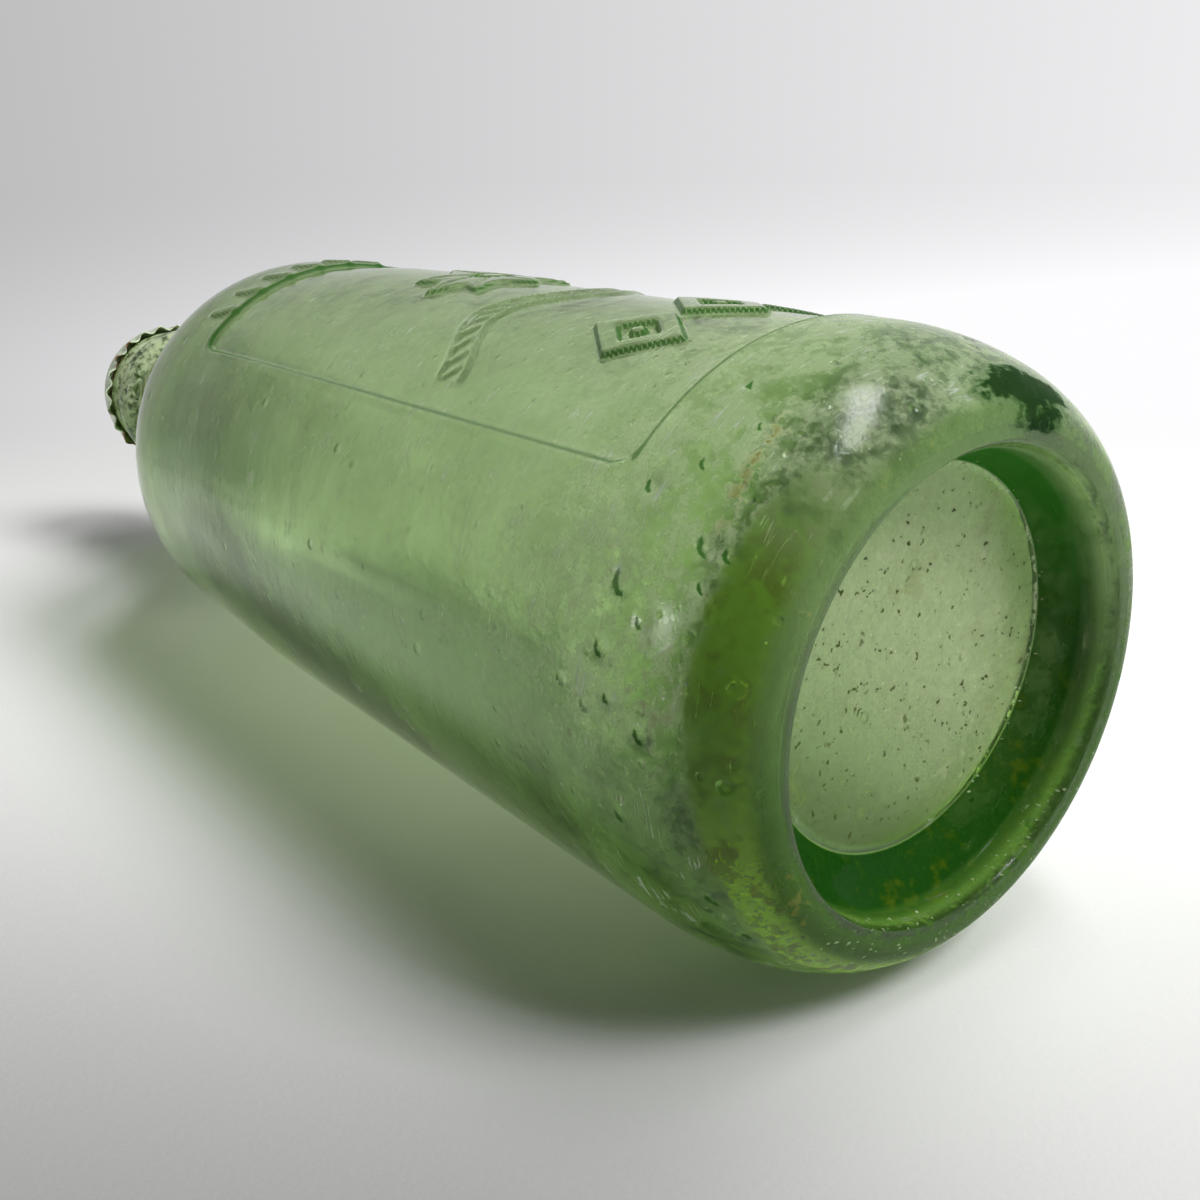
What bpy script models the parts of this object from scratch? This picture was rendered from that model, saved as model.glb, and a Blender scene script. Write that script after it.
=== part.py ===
# Crown seal bottle of pale green glass, lying on its side.
# Metres, +Z up. The bottle's axis runs along Y, with the base at -Y and the mouth at +Y.
# The origin is on the surface that it lies on, under the middle of its length.

from math import acos, cos, pi, radians, sin

import bmesh
import bpy

# Body
body_radius = 0.0334
shoulder_radius = 0.0321
bottle_height = 0.2120
straight_height = 0.1000
shoulder_height = 0.1330
shoulder_bend = 0.0340
wall = 0.0042

# Heel and sunk base
heel_height = 0.0170
bearing_radius = 0.0247
bearing_land = 0.0010
rim_radius = 0.0232
rim_height = 0.0032
recess_radius = 0.0202
recess_depth = 0.0080
recess_crown = 0.0005
base_thickness = 0.0066
inner_heel_bend = 0.0100

# Neck
neck_bend = 0.0260
neck_root_radius = 0.0142
neck_top_radius = 0.0122
bore_radius = 0.0080
bore_length = 0.0200
mouth_bend = 0.0012

# Crown finish: the rounded lip and the collar under it
lip_radius = 0.0132
lip_height = 0.0054
lip_top_bend = 0.0024
lip_under_bend = 0.0009
collar_radius = 0.0146
collar_height = 0.0066
collar_drop = 0.0082

# Sunk panel on the body
panel_start = 0.0206
panel_end = 0.1240
panel_half_angle = radians(49.3)
panel_depth = 0.0006
panel_corner = 0.0030

# Crown seal: crimped shell and cork liner
flute_count = 24
flute_depth = 0.0010
shell_sheet = 0.0003
shell_height = 0.0060
shell_top_bend = 0.0022
liner_radius = 0.0124
liner_thickness = 0.0022
liner_edge = 0.0012

# Fits
seat_gap = 0.0003
slide_clearance = 0.0003

# Faceting
round_steps = 56
steps_per_flute = 6
skirt_steps = 3
bend_steps = 6
bead_steps = 8
small_bend_steps = 3

# A flat of the faceted body faces down, so the axis lies one flat's height up.
flat_turn = pi / round_steps
axis_height = body_radius * cos(flat_turn)

# Heights along the bottle, from its standing ring
inside_floor = recess_depth + base_thickness
liner_seat = bottle_height + seat_gap
liner_top = liner_seat + liner_thickness
shell_top = liner_top + seat_gap + shell_sheet
overall_length = shell_top


def make_material(name, colour, roughness, metallic=0.0, transmission=0.0, ior=1.5):
    material = bpy.data.materials.new(name)
    material.use_nodes = True
    shader = material.node_tree.nodes["Principled BSDF"]
    shader.inputs["Base Color"].default_value = (*colour, 1.0)
    shader.inputs["Roughness"].default_value = roughness
    shader.inputs["Metallic"].default_value = metallic
    shader.inputs["Transmission Weight"].default_value = transmission
    shader.inputs["IOR"].default_value = ior
    material.diffuse_color = (*colour, 1.0)
    return material


def arc(centre, sizes, start, stop, steps):
    """Points of an elliptical arc in a profile, as (radius, height), both ends included."""
    points = []
    for step in range(steps + 1):
        angle = start + (stop - start) * step / steps
        points.append((centre[0] + sizes[0] * cos(angle), centre[1] + sizes[1] * sin(angle)))
    return points


def inside_curve():
    """The hollow, from the middle of its floor up to the bore."""
    inside_radius = body_radius - wall
    corner_centre = (inside_radius - inner_heel_bend, inside_floor + inner_heel_bend)
    floor_sizes = (inside_radius - inner_heel_bend, recess_crown)
    points = arc((0, inside_floor), floor_sizes, pi / 2, 0, small_bend_steps)[:-1]
    points += arc(corner_centre, (inner_heel_bend, inner_heel_bend), -pi / 2, 0, bend_steps - 1)
    going_down = shoulder_curve(wall) + body_curve(wall)
    points += going_down[::-1]
    points.append((bore_radius, bottle_height - bore_length))
    return points


def finish_curve():
    """Mouth, lip and collar, from the bore's edge over the top and down to the neck."""
    lip_bottom = bottle_height - lip_height
    collar_middle = bottle_height - collar_drop - collar_height / 2
    mouth_centre = (bore_radius + mouth_bend, bottle_height - mouth_bend)
    top_centre = (lip_radius - lip_top_bend, bottle_height - lip_top_bend)
    under_centre = (lip_radius - lip_under_bend, lip_bottom + lip_under_bend)
    bead_sizes = (collar_radius - neck_top_radius, collar_height / 2)
    points = arc(mouth_centre, (mouth_bend, mouth_bend), pi, pi / 2, small_bend_steps)
    points += arc(top_centre, (lip_top_bend, lip_top_bend), pi / 2, 0, bend_steps - 1)
    points += arc(under_centre, (lip_under_bend, lip_under_bend), 0, -pi / 2, small_bend_steps)
    points += arc((neck_top_radius, collar_middle), bead_sizes, pi / 2, -pi / 2, bead_steps)
    return points


def shoulder_curve(inset):
    """Neck root down to the body: two arcs that meet on one slope, moved in by inset."""
    both_bends = shoulder_bend + neck_bend
    turn = acos(1 - (shoulder_radius - neck_root_radius) / both_bends)
    neck_centre = (neck_root_radius + neck_bend, shoulder_height + both_bends * sin(turn))
    body_centre = (shoulder_radius - shoulder_bend, shoulder_height)
    hollow_side = neck_bend + inset
    round_side = shoulder_bend - inset
    points = arc(neck_centre, (hollow_side, hollow_side), pi, pi + turn, bend_steps)
    points += arc(body_centre, (round_side, round_side), turn, 0, bend_steps)[1:]
    return points


def body_radius_at(height):
    """The body is straight up to a height, then eases in to the shoulder's radius."""
    share = (height - straight_height) / (shoulder_height - straight_height)
    share = min(max(share, 0), 1)
    return body_radius - (body_radius - shoulder_radius) * (1 - cos(pi * share)) / 2


def body_heights():
    """Heights of the body's rings, from just under the shoulder down to the straight part."""
    drop = (shoulder_height - straight_height) / bend_steps
    return [shoulder_height - drop * step for step in range(1, bend_steps + 1)]


def body_curve(inset):
    return [(body_radius_at(height) - inset, height) for height in body_heights()]


def base_curve():
    """Heel, standing ring, and the steep wall and floor of the sunk base, in to the axis."""
    outer_edge = bearing_radius + bearing_land / 2
    inner_edge = bearing_radius - bearing_land / 2
    heel_sizes = (body_radius - outer_edge, heel_height)
    rim_sizes = (inner_edge - rim_radius, rim_height)
    points = arc((outer_edge, heel_height), heel_sizes, 0, -pi / 2, bead_steps)
    points += arc((inner_edge, rim_height), rim_sizes, -pi / 2, -pi, small_bend_steps)
    points += arc((0, recess_depth), (recess_radius, recess_crown), 0, pi / 2, small_bend_steps)
    return points


def profile_mesh(name, profile):
    """A mesh of the profile's edges, which a Screw modifier turns about Z."""
    mesh = bpy.data.meshes.new(name)
    shape = bmesh.new()
    verts = [shape.verts.new((radius, 0, height)) for radius, height in profile]
    for first, second in zip(verts, verts[1:]):
        shape.edges.new((first, second))
    shape.to_mesh(mesh)
    shape.free()
    return mesh


def add_object(name, mesh, material, parent):
    thing = bpy.data.objects.new(name, mesh)
    bpy.context.scene.collection.objects.link(thing)
    mesh.materials.append(material)
    thing.parent = parent
    return thing


def add_empty(name, location, rotation, parent=None):
    empty = bpy.data.objects.new(name, None)
    bpy.context.scene.collection.objects.link(empty)
    empty.location = location
    empty.rotation_euler = rotation
    empty.parent = parent
    return empty


def turn_profile(thing):
    screw = thing.modifiers.new("Turned", "SCREW")
    screw.axis = "Z"
    screw.angle = 2 * pi
    screw.screw_offset = 0
    screw.steps = round_steps
    screw.render_steps = round_steps
    screw.use_merge_vertices = True
    screw.merge_threshold = 0.00001
    screw.use_smooth_shade = True


def panel_columns():
    """Angles across the panel: the edges between the body's flats, and the round corners."""
    corner_angle = panel_corner / body_radius
    corner_start = panel_half_angle - corner_angle
    inner_flats = int(corner_start / (2 * flat_turn) - 0.5)
    columns = [(index + 0.5) * 2 * flat_turn for index in range(inner_flats + 1)]
    columns += [angle for angle, _ in arc((corner_start, 0), (corner_angle, 0), pi / 2, 0, small_bend_steps)]
    return [-angle for angle in columns[::-1]] + columns


def panel_inset(angle):
    """How far the panel's round corners draw its ends in at this angle from its middle."""
    corner_angle = panel_corner / body_radius
    share = (abs(angle) - panel_half_angle + corner_angle) / corner_angle
    share = min(max(share, 0), 1)
    return panel_corner * (1 - (1 - share * share) ** 0.5)


def flat_share(angle):
    """Where a ray at this angle meets the faceted round, as a share of its corner radius."""
    offset = (angle + flat_turn) % (2 * flat_turn) - flat_turn
    return cos(flat_turn) / cos(offset)


def panel_mesh():
    """Cutter for the sunk panel: a curved slab whose inner face follows the body's own surface."""
    between = [height for height in body_heights()[::-1] if panel_start < height < panel_end - panel_corner]
    shape = bmesh.new()
    rings = []
    for angle in panel_columns():
        inset = panel_inset(angle)
        heights = [panel_start + inset] + between + [panel_end - inset]
        inner = [(body_radius_at(height) - panel_depth, height) for height in heights]
        outer = [(body_radius + panel_depth, height) for height in heights]
        ring = []
        for radius, height in inner + outer[::-1]:
            reach = radius * flat_share(angle)
            ring.append(shape.verts.new((reach * sin(angle), -reach * cos(angle), height)))
        rings.append(ring)
    for left, right in zip(rings, rings[1:]):
        for index in range(len(left)):
            after = (index + 1) % len(left)
            shape.faces.new((left[index], left[after], right[after], right[index]))
    shape.faces.new(rings[0][::-1])
    shape.faces.new(rings[-1])
    bmesh.ops.recalc_face_normals(shape, faces=shape.faces)
    mesh = bpy.data.meshes.new("panel_cutter")
    shape.to_mesh(mesh)
    shape.free()
    return mesh


def add_bottle(parent):
    """One piece of glass: turned whole, then cut by the panel."""
    profile = inside_curve() + finish_curve() + shoulder_curve(0) + body_curve(0) + base_curve()
    glass = make_material("pale_green_glass", (0.42, 0.56, 0.34), 0.18, 0.0, 0.85, 1.52)
    bottle = add_object("glass_bottle", profile_mesh("glass_bottle", profile), glass, parent)
    bottle.rotation_euler = (0, 0, flat_turn)
    turn_profile(bottle)
    cutter = add_object("panel_cutter", panel_mesh(), glass, parent)
    cutter.hide_render = True
    cutter.display_type = "WIRE"
    cut = bottle.modifiers.new("Sunk panel", "BOOLEAN")
    cut.operation = "DIFFERENCE"
    cut.solver = "EXACT"
    cut.object = cutter


def shell_side(sheet_inset):
    """One side of the crimped sheet, top down, as (radius, height, share of the flutes' depth)."""
    edge_radius = lip_radius + slide_clearance + shell_sheet
    bend_height = shell_top - shell_top_bend
    skirt_end = shell_top - shell_height
    bend = shell_top_bend - sheet_inset
    rows = [(radius, height, 0) for radius, height in
            arc((edge_radius - shell_top_bend, bend_height), (bend, bend), pi / 2, 0, small_bend_steps)]
    for step in range(1, skirt_steps + 1):
        share = step / skirt_steps
        rows.append((edge_radius - sheet_inset, bend_height + (skirt_end - bend_height) * share, share))
    return rows


def shell_mesh():
    """Crimped sheet: round on top, with flutes that open out down the skirt."""
    count = flute_count * steps_per_flute
    shape = bmesh.new()
    rings = []
    for radius, height, share in shell_side(0) + shell_side(shell_sheet)[::-1]:
        ring = []
        for index in range(count):
            angle = 2 * pi * index / count
            reach = radius + flute_depth * share * (1 - cos(flute_count * angle)) / 2
            ring.append(shape.verts.new((reach * cos(angle), reach * sin(angle), height)))
        rings.append(ring)
    for upper, lower in zip(rings, rings[1:]):
        for index in range(count):
            after = (index + 1) % count
            shape.faces.new((upper[index], lower[index], lower[after], upper[after]))
    shape.faces.new(rings[0])
    shape.faces.new(rings[-1][::-1])
    mesh = bpy.data.meshes.new("crown_cap")
    shape.to_mesh(mesh)
    shape.free()
    return mesh


def add_shell(parent):
    lacquer = make_material("green_lacquer_tinplate", (0.23, 0.33, 0.19), 0.45, 0.3)
    shell = add_object("crown_cap", shell_mesh(), lacquer, parent)
    shell.data.shade_smooth()
    shell.data.set_sharp_from_angle(angle=radians(50))


def add_liner(parent):
    """Cork disc with a rounded upper edge that fits inside the shell's bend."""
    edge_centre = (liner_radius - liner_edge, liner_top - liner_edge)
    profile = [(0, liner_top)]
    profile += arc(edge_centre, (liner_edge, liner_edge), pi / 2, 0, small_bend_steps)
    profile += [(liner_radius, liner_seat), (0, liner_seat)]
    cork = make_material("cork", (0.45, 0.29, 0.16), 0.9)
    liner = add_object("cork_disc", profile_mesh("cork_disc", profile), cork, parent)
    turn_profile(liner)


for old in list(bpy.data.objects):
    bpy.data.objects.remove(old, do_unlink=True)

bottle_axis = add_empty("bottle_axis", (0, -overall_length / 2, axis_height), (-pi / 2, 0, 0))
crown_axis = add_empty("crown_axis", (0, 0, 0), (0, 0, 0), bottle_axis)
add_bottle(bottle_axis)
add_shell(crown_axis)
add_liner(crown_axis)
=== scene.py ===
import math

import bpy
import numpy as np
from mathutils import Euler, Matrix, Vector


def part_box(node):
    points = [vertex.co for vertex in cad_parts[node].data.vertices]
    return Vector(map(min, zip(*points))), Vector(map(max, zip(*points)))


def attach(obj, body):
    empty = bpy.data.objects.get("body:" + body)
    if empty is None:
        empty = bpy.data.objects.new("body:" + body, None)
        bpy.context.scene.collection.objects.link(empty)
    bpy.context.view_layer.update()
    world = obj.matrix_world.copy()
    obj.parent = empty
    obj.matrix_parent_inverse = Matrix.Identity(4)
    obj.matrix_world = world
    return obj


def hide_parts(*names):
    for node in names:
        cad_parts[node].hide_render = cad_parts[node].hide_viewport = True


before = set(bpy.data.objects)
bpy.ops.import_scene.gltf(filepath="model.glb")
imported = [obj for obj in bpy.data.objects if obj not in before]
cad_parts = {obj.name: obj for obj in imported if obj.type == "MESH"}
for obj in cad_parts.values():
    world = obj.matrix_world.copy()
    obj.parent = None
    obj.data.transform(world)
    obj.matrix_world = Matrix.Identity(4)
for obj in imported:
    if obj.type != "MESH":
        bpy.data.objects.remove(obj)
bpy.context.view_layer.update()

mm = 0.001
glassLow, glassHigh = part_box("glass_bottle")
axisHeight = (glassLow.z + glassHigh.z) / 2
standY = glassLow.y  # the standing ring's plane
bodyRadius = (glassHigh.z - glassLow.z) / 2
bottleHeight = glassHigh.y - glassLow.y
print("frame: body radius", round(bodyRadius / mm, 3), "mm, height", round(bottleHeight / mm, 2), "mm")


# Shader maths: a socket that works in sums

class Wire:
    def __init__(self, tree, socket=None):
        self.tree = tree
        self.socket = socket

    def node(self, kind, inputs=None, output=0, **settings):
        made = self.tree.nodes.new(kind)
        for name, value in settings.items():
            setattr(made, name, value)
        for name, value in (inputs or {}).items():
            if isinstance(value, Wire):
                self.tree.links.new(value.socket, made.inputs[name])
            else:
                made.inputs[name].default_value = value
        return Wire(self.tree, made.outputs[output])

    def maths(self, kind, *values):
        return self.node("ShaderNodeMath", dict(enumerate(values)), operation=kind)

    def __add__(self, other):
        return self.maths("ADD", self, other)

    def __radd__(self, other):
        return self.maths("ADD", other, self)

    def __sub__(self, other):
        return self.maths("SUBTRACT", self, other)

    def __rsub__(self, other):
        return self.maths("SUBTRACT", other, self)

    def __mul__(self, other):
        return self.maths("MULTIPLY", self, other)

    def __rmul__(self, other):
        return self.maths("MULTIPLY", other, self)

    def __truediv__(self, other):
        return self.maths("DIVIDE", self, other)

    def __rtruediv__(self, other):
        return self.maths("DIVIDE", other, self)

    def least(self, other):
        return self.maths("MINIMUM", self, other)

    def most(self, other):
        return self.maths("MAXIMUM", self, other)

    def rise(self, start, stop):  # 0 before start, 1 after stop
        ends = {"Value": self, "From Min": start, "From Max": stop}
        return self.node("ShaderNodeMapRange", ends, interpolation_type="SMOOTHSTEP")

    def between(self, first, second):  # two colours mixed by this mask
        return self.node("ShaderNodeMix", {0: self, 6: first, 7: second}, 2, data_type="RGBA")

    def shaders(self, first, second):  # two shaders mixed by this mask
        return self.node("ShaderNodeMixShader", {0: self, 1: first, 2: second})

    def vector(self, kind, inputs, output=0):  # vector maths on this place, way or push
        return self.node("ShaderNodeVectorMath", {0: self, **inputs}, output, operation=kind)

    def along(self, direction):  # how far this place or way goes along the direction
        return self.vector("DOT_PRODUCT", {1: direction}, "Value")

    def stretched(self, sizes, turn=(0, 0, 0)):  # a place, scaled for streaks
        return self.node("ShaderNodeMapping", {"Vector": self, "Scale": sizes, "Rotation": turn})

    def cloud(self, scale, detail, rough):  # noise at this place, about 0.3 to 0.7
        inputs = {"Vector": self, "Scale": scale, "Detail": detail, "Roughness": rough}
        return self.node("ShaderNodeTexNoise", inputs)

    def cells(self, scale, output="Distance"):  # distance to, or colour of, the nearest cell
        return self.node("ShaderNodeTexVoronoi", {"Vector": self, "Scale": scale}, output)


def newMaterial(name):  # gives the place that the material's looks start from
    material = bpy.data.materials.new(name)
    material.use_nodes = True
    material.node_tree.nodes.clear()
    return Wire(material.node_tree).node("ShaderNodeTexCoord", output="Object")


def finishMaterial(name, **ends):  # ends: Surface, and Volume if there is one
    material = bpy.data.materials[name]
    end = material.node_tree.nodes.new("ShaderNodeOutputMaterial")
    for label, value in ends.items():
        material.node_tree.links.new(value.socket, end.inputs[label])
    return material


def bumped(height, strength=1.0):
    return height.node("ShaderNodeBump", {"Height": height, "Distance": mm, "Strength": strength})


def principled(bump, colour, rough, more=None):  # more: other inputs by name
    inputs = {"Base Color": colour, "Roughness": rough, "Normal": bump, **(more or {})}
    return bump.node("ShaderNodeBsdfPrincipled", inputs)


def attribute(place, name):
    return place.node("ShaderNodeAttribute", {}, "Fac", attribute_name=name)


# Mesh helpers

def step(start, stop, value):
    share = np.clip((value - start) / (stop - start), 0, 1)
    return share * share * (3 - 2 * share)


def arc(centre, sizes, start, stop, steps):
    angles = np.linspace(math.radians(start), math.radians(stop), steps + 1)
    return np.stack([centre[0] + sizes[0] * np.cos(angles), centre[1] + sizes[1] * np.sin(angles)], 1)


def ripple(points, length, seed, count=18):  # soft random waves, about -1 to 1
    random = np.random.default_rng(seed)
    ways = random.normal(size=(count, 3))
    ways /= np.linalg.norm(ways, axis=1, keepdims=True) * length * random.uniform(0.7, 1.7, (count, 1))
    phases = random.uniform(0, 2 * math.pi, count)
    return np.sin(points @ ways.T * 2 * math.pi + phases).sum(-1) / math.sqrt(count)


def stitch(first, second, firstAngles, secondAngles):  # joins two rings with unlike columns
    faces = []
    one, two = 0, 0
    countOne, countTwo = len(first), len(second)
    while one < countOne or two < countTwo:
        nextOne = firstAngles[one + 1] if one + 1 < countOne else firstAngles[0] + 2 * math.pi
        nextTwo = secondAngles[two + 1] if two + 1 < countTwo else secondAngles[0] + 2 * math.pi
        if two >= countTwo or (one < countOne and nextOne <= nextTwo):
            faces.append((first[one], first[(one + 1) % countOne], second[two % countTwo]))
            one += 1
        else:
            faces.append((first[one % countOne], second[(two + 1) % countTwo], second[two]))
            two += 1
    return faces


def meshObject(name, points, faces, material, marks=None):
    mesh = bpy.data.meshes.new(name)
    mesh.from_pydata([tuple(point) for point in points], [], faces)
    for mark, values in (marks or {}).items():
        mesh.attributes.new(mark, "FLOAT", "POINT").data.foreach_set("value", values.astype(np.float32))
    mesh.materials.append(material)
    mesh.shade_smooth()
    mesh.update()
    thing = bpy.data.objects.new(name, mesh)
    bpy.context.scene.collection.objects.link(thing)
    return thing


# Glass: one closed mesh, from the middle of the sunk base over the lip to the inside's floor

glass = {
    "skin": 0.10 * mm,  # the wobble stays inside the box by this
    "wall": 4.2 * mm,
    "recessRadius": 20.0 * mm, "recessDepth": 7.6 * mm, "recessCrown": 0.5 * mm,
    "recessShift": (0.37 * mm, 0.79 * mm), "rimShift": (-0.34 * mm, -0.31 * mm),
    "rimRadius": 23.3 * mm, "rimHeight": 3.4 * mm,
    "bearingIn": 24.2 * mm, "bearingOut": 25.2 * mm, "heelHeight": 17.0 * mm,
    "straightHeight": 100.0 * mm, "shoulderHeight": 133.0 * mm, "shoulderRadius": 32.1 * mm,
    "shoulderBend": 34.0 * mm, "neckBend": 26.0 * mm, "neckRoot": 14.2 * mm, "neckTop": 12.2 * mm,
    "collarRadius": 14.6 * mm, "collarHeight": 6.6 * mm, "collarDrop": 8.2 * mm,
    "lipRadius": 13.2 * mm, "lipHeight": 5.4 * mm, "lipTopBend": 2.4 * mm, "lipUnderBend": 0.9 * mm,
    "mouthBend": 1.2 * mm, "boreRadius": 8.0 * mm, "boreLength": 20.0 * mm,
    "baseThickness": 6.6 * mm, "innerHeelBend": 10.0 * mm,
}

panel = {
    "start": 20.6 * mm, "end": 124.0 * mm, "halfAngle": math.radians(49.3), "corner": 3.0 * mm,
    "depth": 0.60 * mm, "endEdge": 0.6 * mm, "sideEdge": 1.1 * mm,
    "bead": 0.10 * mm, "beadWidth": 0.7 * mm,
    "seamTurns": (-83, 97), "seamHalf": 0.35 * mm, "seamRelief": 0.09 * mm, "seamStart": 20 * mm,
}

ornament = {
    "relief": 0.68 * mm, "soft": 0.62 * mm,
    "lozengeHeight": 36.5 * mm, "lozengePitch": 11.6 * mm, "lozengeCount": 3,
    "lozengeHalf": (4.9 * mm, 6.9 * mm), "lozengeRidge": 1.15 * mm, "studHalf": 1.0 * mm,
    "swagHeight": 60.5 * mm, "swagDrop": 3.2 * mm, "swagPitch": 25.0 * mm, "swagHalf": 25.0 * mm,
    "swagGap": 4.4 * mm, "swagLine": 0.42 * mm, "swagRelief": 0.34 * mm, "barPitch": 2.3 * mm,
    "swagFade": 1.5 * mm, "swagLean": 0.8,
    "flowerHeight": 81.5 * mm, "petals": 8, "petalReach": 10.8 * mm, "petalRoot": 2.6 * mm, "eye": 1.7 * mm,
    "petalHalf": 2.1 * mm, "petalSoft": 0.5 * mm, "petalVein": 0.25 * mm,
    "leafHeight": 127.5 * mm, "leafPitch": 5.4 * mm, "leafCount": 9, "leafHalf": (1.1 * mm, 3.6 * mm),
    "leafLean": 0.25, "leafRelief": 0.75,
}


def shoulderRows(inset, steps):
    g = glass
    bends = g["shoulderBend"] + g["neckBend"]
    turn = math.degrees(math.acos(1 - (g["shoulderRadius"] - g["neckRoot"]) / bends))
    rise = bends * math.sin(math.radians(turn))
    bodyCentre = (g["shoulderRadius"] - g["shoulderBend"], g["shoulderHeight"])
    neckCentre = (g["neckRoot"] + g["neckBend"], g["shoulderHeight"] + rise)
    body = arc(bodyCentre, (g["shoulderBend"] - inset,) * 2, 0, turn, steps)
    neck = arc(neckCentre, (g["neckBend"] + inset,) * 2, 180 + turn, 180, steps)
    return np.concatenate([body[:-1], neck])


def bodyRows(inset, heights):
    g = glass
    share = np.clip((heights - g["straightHeight"]) / (g["shoulderHeight"] - g["straightHeight"]), 0, 1)
    ease = (bodyRadius - g["skin"] - g["shoulderRadius"]) * (1 - np.cos(math.pi * share)) / 2
    return np.stack([bodyRadius - g["skin"] - ease - inset, heights], 1)


def spaced(*runs):  # heights in runs of (start, stop, spacing), in mm
    heights = [np.arange(start, stop - spacing / 2, spacing) for start, stop, spacing in runs]
    return np.concatenate(heights) * mm


def line(start, stop, steps):
    share = np.linspace(0, 1, steps + 1)[:, None]
    return np.asarray(start) * (1 - share) + np.asarray(stop) * share


def baseRows():
    g = glass
    radii = np.linspace(0.06, 1, 22) * g["recessRadius"]
    floor = np.stack([radii, g["recessDepth"] + g["recessCrown"] * (1 - (radii / g["recessRadius"]) ** 2)], 1)
    wallStart = (g["recessRadius"] + 0.25 * mm, g["recessDepth"] - 0.15 * mm)
    wall = line(wallStart, (g["rimRadius"], g["rimHeight"]), 9)
    rimSizes = (g["bearingIn"] - g["rimRadius"], g["rimHeight"])
    rim = arc((g["bearingIn"], g["rimHeight"]), rimSizes, 180, 270, 9)[1:]
    heelSizes = (bodyRadius - g["skin"] - g["bearingOut"], g["heelHeight"])
    heel = arc((g["bearingOut"], g["heelHeight"]), heelSizes, -90, 0, 44)
    return np.concatenate([floor, wall, rim, heel])


def finishRows():
    g = glass
    top = bottleHeight
    collarMiddle = top - g["collarDrop"] - g["collarHeight"] / 2
    neckEnd = top - g["collarDrop"] - g["collarHeight"]
    rootHeight = shoulderRows(0, 4)[-1][1]
    neck = line((g["neckRoot"], rootHeight), (g["neckTop"], neckEnd), 12)[1:-1]
    collarSizes = (g["collarRadius"] - g["neckTop"], g["collarHeight"] / 2)
    collar = arc((g["neckTop"], collarMiddle), collarSizes, -90, 90, 16)
    under = arc((g["lipRadius"] - g["lipUnderBend"], top - g["lipHeight"] + g["lipUnderBend"]),
                (g["lipUnderBend"],) * 2, -90, 0, 5)
    over = arc((g["lipRadius"] - g["lipTopBend"], top - g["lipTopBend"]), (g["lipTopBend"],) * 2, 0, 90, 9)
    mouth = arc((g["boreRadius"] + g["mouthBend"], top - g["mouthBend"]), (g["mouthBend"],) * 2, 90, 180, 6)
    return np.concatenate([neck, collar, under, over, mouth])


def insideRows():
    g = glass
    floorHeight = g["recessDepth"] + g["baseThickness"]
    bend = g["innerHeelBend"]
    insideRadius = bodyRadius - g["wall"]
    boreTop, boreEnd = bottleHeight - g["mouthBend"], bottleHeight - g["boreLength"]
    bore = line((g["boreRadius"], boreTop), (g["boreRadius"], boreEnd), 6)
    shoulder = shoulderRows(g["wall"], 12)[::-1]
    neck = line(bore[-1], shoulder[0], 6)[1:-1]
    body = bodyRows(g["wall"], spaced((27, 131, 4.0)))[::-1]
    heel = arc((insideRadius - bend, floorHeight + bend), (bend, bend), 0, -90, 14)
    radii = np.linspace(1, 0.08, 9)[1:] * heel[-1][0]
    floor = np.stack([radii, floorHeight + g["recessCrown"] * (1 - (radii / heel[-1][0]) ** 2)], 1)
    return np.concatenate([bore[1:], neck, shoulder, body, heel, floor])


def panelDistance(across, along):  # outside the rounded panel, negative inside
    halfWide = bodyRadius * panel["halfAngle"]
    middle = (panel["start"] + panel["end"]) / 2
    halfLong = (panel["end"] - panel["start"]) / 2
    wide = np.abs(across) - halfWide + panel["corner"]
    tall = np.abs(along - middle) - halfLong + panel["corner"]
    outer = np.hypot(np.maximum(wide, 0), np.maximum(tall, 0))
    return outer + np.minimum(np.maximum(wide, tall), 0) - panel["corner"], wide, tall


def ridge(distance, half):  # 1 on a ridge of this half width, 0 beside it
    return step(half + ornament["soft"] / 2, half - ornament["soft"] / 2, np.abs(distance))


def lozenges(across, along):
    o = ornament
    wide, tall = o["lozengeHalf"]
    unit = wide * tall / math.hypot(wide, tall)
    up = np.abs(along - o["lozengeHeight"])
    shapes = []
    for index in range(o["lozengeCount"]):
        away = np.abs(across - (index - (o["lozengeCount"] - 1) / 2) * o["lozengePitch"])
        shapes.append(ridge((away / wide + up / tall - 0.80) * unit, o["lozengeRidge"]))
        shapes.append(ridge(away + up * 0.7, o["studHalf"]))
    return shapes


def swag(across, along):
    o = ornament
    off = along - (o["swagHeight"] - o["swagDrop"] * np.cos(2 * math.pi * across / o["swagPitch"]))
    lines = ridge(np.abs(off) - o["swagGap"] / 2, o["swagLine"])
    phase = (across + off * o["swagLean"]) / o["barPitch"]
    bars = ridge((phase - np.round(phase)) * o["barPitch"], o["swagLine"] * 0.8)
    bars *= np.abs(off) < o["swagGap"] / 2
    ends = step(o["swagHalf"], o["swagHalf"] - o["swagFade"], np.abs(across))
    return [np.maximum(lines, bars * 0.8) * ends * o["swagRelief"] / o["relief"]]


def flower(across, along):
    o = ornament
    rise = along - o["flowerHeight"]
    far = np.hypot(across, rise)
    turn = np.arctan2(across, rise) * o["petals"] / 2
    share = np.clip((far - o["petalRoot"]) / (o["petalReach"] - o["petalRoot"]), 0, 1)
    halfPetal = np.sin(math.pi * share ** 0.75) * o["petalHalf"]
    side = far * np.abs(np.sin(turn)) / o["petals"] * 2
    petal = step(o["petalSoft"], -o["petalSoft"], side - halfPetal)
    petal *= (far > o["petalRoot"]) & (far < o["petalReach"])
    vein = ridge(side, o["petalVein"]) * 0.5
    return [petal * (1 - vein * (halfPetal > 1.0 * mm)), ridge(far, o["eye"])]


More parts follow.
